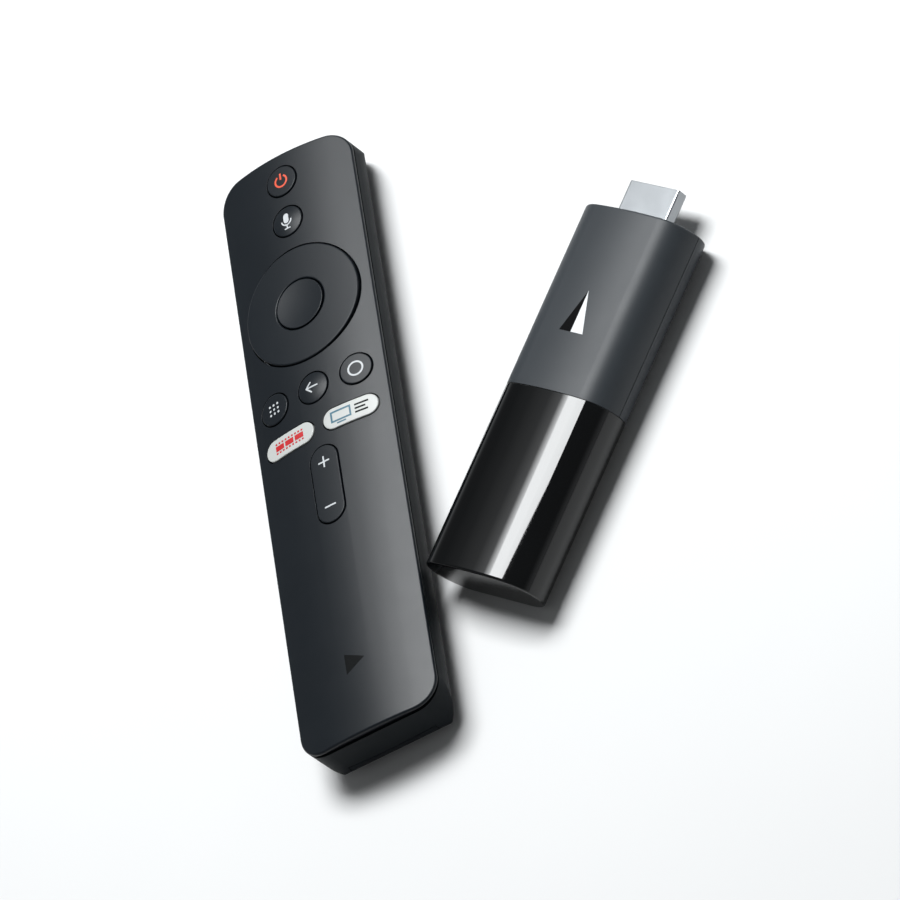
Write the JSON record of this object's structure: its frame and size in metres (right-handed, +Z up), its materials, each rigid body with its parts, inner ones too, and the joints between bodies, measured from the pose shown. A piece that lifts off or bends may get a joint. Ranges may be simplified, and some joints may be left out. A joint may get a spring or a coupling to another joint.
{
  "type": "streaming media player",
  "caption": "HDMI streaming stick with its voice remote: slim oval stick with a satin half and a gloss half, and a long handset with round keys, a four-way ring and a volume rocker.",
  "frame": {"origin": "centre of the remote's flat back, on the surface that the remote and the stick lie on", "axes": "+Y along the remote towards its power button, +X to the remote's right, where the stick lies, +Z up out of the remote's face"},
  "size_m": [0.1108, 0.15, 0.0152],
  "materials": {
    "dark_shell": "satin",
    "dark_key": "satin",
    "service_key": "satin",
    "stick_shell": "fine matte",
    "gloss_black": "piano gloss",
    "plug_metal": "satin nickel plate",
    "insert_plastic": "matte",
    "gold": "gold plate",
    "circuit_board": "solder mask",
    "chip": "matte moulding",
    "shield_steel": "tin plate",
    "thermal_pad": "soft",
    "heat_spreader": "rolled",
    "spring_steel": "nickel plate",
    "screw_steel": "zinc plate",
    "silicone": "matte",
    "dpad_pad": "matte",
    "cell_sleeve": "printed sleeve"
  },
  "bodies": {
    "remote": {"remote_top_shell": "dark_shell", "remote_bottom_shell": "dark_shell", "dpad_pad": "dpad_pad", "keypad_sheet": "silicone", "dome_switches": "spring_steel", "remote_board": "circuit_board", "radio_chip": "chip", "microphone": "shield_steel", "battery_left": "cell_sleeve", "battery_right": "cell_sleeve", "battery_plates": "spring_steel", "battery_springs": "spring_steel", "case_screws": "screw_steel"},
    "battery_door": {"battery_door": "dark_shell"},
    "power_button": {"power_button": "dark_key"},
    "voice_button": {"voice_button": "dark_key"},
    "ok_button": {"ok_button": "dark_key"},
    "apps_button": {"apps_button": "dark_key"},
    "back_button": {"back_button": "dark_key"},
    "home_button": {"home_button": "dark_key"},
    "left_service_button": {"left_service_button": "service_key"},
    "right_service_button": {"right_service_button": "service_key"},
    "volume_rocker": {"volume_rocker": "dark_key"},
    "dpad_carrier": {"dpad_carrier": "insert_plastic"},
    "dpad_ring": {"dpad_ring": "dark_key"},
    "stick": {"stick_front_shell": "stick_shell", "stick_back_shell": "stick_shell", "gloss_sleeve": "gloss_black", "plug_shell": "plug_metal", "plug_insert": "insert_plastic", "plug_contacts": "gold", "main_board": "circuit_board", "shield_can": "shield_steel", "processor_chip": "chip", "memory_chips": "chip", "wifi_module": "shield_steel", "thermal_pad": "thermal_pad", "heat_spreader": "heat_spreader", "wifi_antenna": "spring_steel", "usb_port": "shield_steel", "usb_tongue": "insert_plastic", "board_screws": "screw_steel"}
  },
  "joints": [
    {"name": "stick_lift", "type": "slide", "parent": "remote", "child": "stick", "axis": [0, 0, 1], "range_m": [0, 0.08]},
    {"name": "battery_door_slide", "type": "slide", "parent": "remote", "child": "battery_door", "axis": [0, -1, 0], "range_m": [0, 0.055]},
    {"name": "power_press", "type": "slide", "parent": "remote", "child": "power_button", "axis": [0, 0, -1], "range_m": [0, 0.0006], "stiffness_N_per_m": 2500, "deforming": ["keypad_sheet"]},
    {"name": "voice_press", "type": "slide", "parent": "remote", "child": "voice_button", "axis": [0, 0, -1], "range_m": [0, 0.0006], "stiffness_N_per_m": 2500, "deforming": ["keypad_sheet"]},
    {"name": "ok_press", "type": "slide", "parent": "remote", "child": "ok_button", "axis": [0, 0, -1], "range_m": [0, 0.0006], "stiffness_N_per_m": 2500, "deforming": ["keypad_sheet"]},
    {"name": "apps_press", "type": "slide", "parent": "remote", "child": "apps_button", "axis": [0, 0, -1], "range_m": [0, 0.0006], "stiffness_N_per_m": 2500, "deforming": ["keypad_sheet"]},
    {"name": "back_press", "type": "slide", "parent": "remote", "child": "back_button", "axis": [0, 0, -1], "range_m": [0, 0.0006], "stiffness_N_per_m": 2500, "deforming": ["keypad_sheet"]},
    {"name": "home_press", "type": "slide", "parent": "remote", "child": "home_button", "axis": [0, 0, -1], "range_m": [0, 0.0006], "stiffness_N_per_m": 2500, "deforming": ["keypad_sheet"]},
    {"name": "left_service_press", "type": "slide", "parent": "remote", "child": "left_service_button", "axis": [0, 0, -1], "range_m": [0, 0.0006], "stiffness_N_per_m": 2500, "deforming": ["keypad_sheet"]},
    {"name": "right_service_press", "type": "slide", "parent": "remote", "child": "right_service_button", "axis": [0, 0, -1], "range_m": [0, 0.0006], "stiffness_N_per_m": 2500, "deforming": ["keypad_sheet"]},
    {"name": "volume_rock", "type": "hinge", "parent": "remote", "child": "volume_rocker", "pos_m": [0, -0.0126, 0.0125], "axis": [1, 0, 0], "range_deg": [-2.5, 2.5], "stiffness_Nm_per_rad": 0.2, "deforming": ["keypad_sheet"]},
    {"name": "dpad_rock_up_down", "type": "hinge", "parent": "remote", "child": "dpad_carrier", "pos_m": [0, 0.0347, 0.0125], "axis": [1, 0, 0], "range_deg": [-2, 2], "stiffness_Nm_per_rad": 0.45, "deforming": ["dpad_pad"]},
    {"name": "dpad_rock_left_right", "type": "hinge", "parent": "dpad_carrier", "child": "dpad_ring", "pos_m": [0, 0.0347, 0.0125], "axis": [0, 1, 0], "range_deg": [-2, 2], "stiffness_Nm_per_rad": 0.45, "deforming": ["dpad_pad"]}
  ]
}
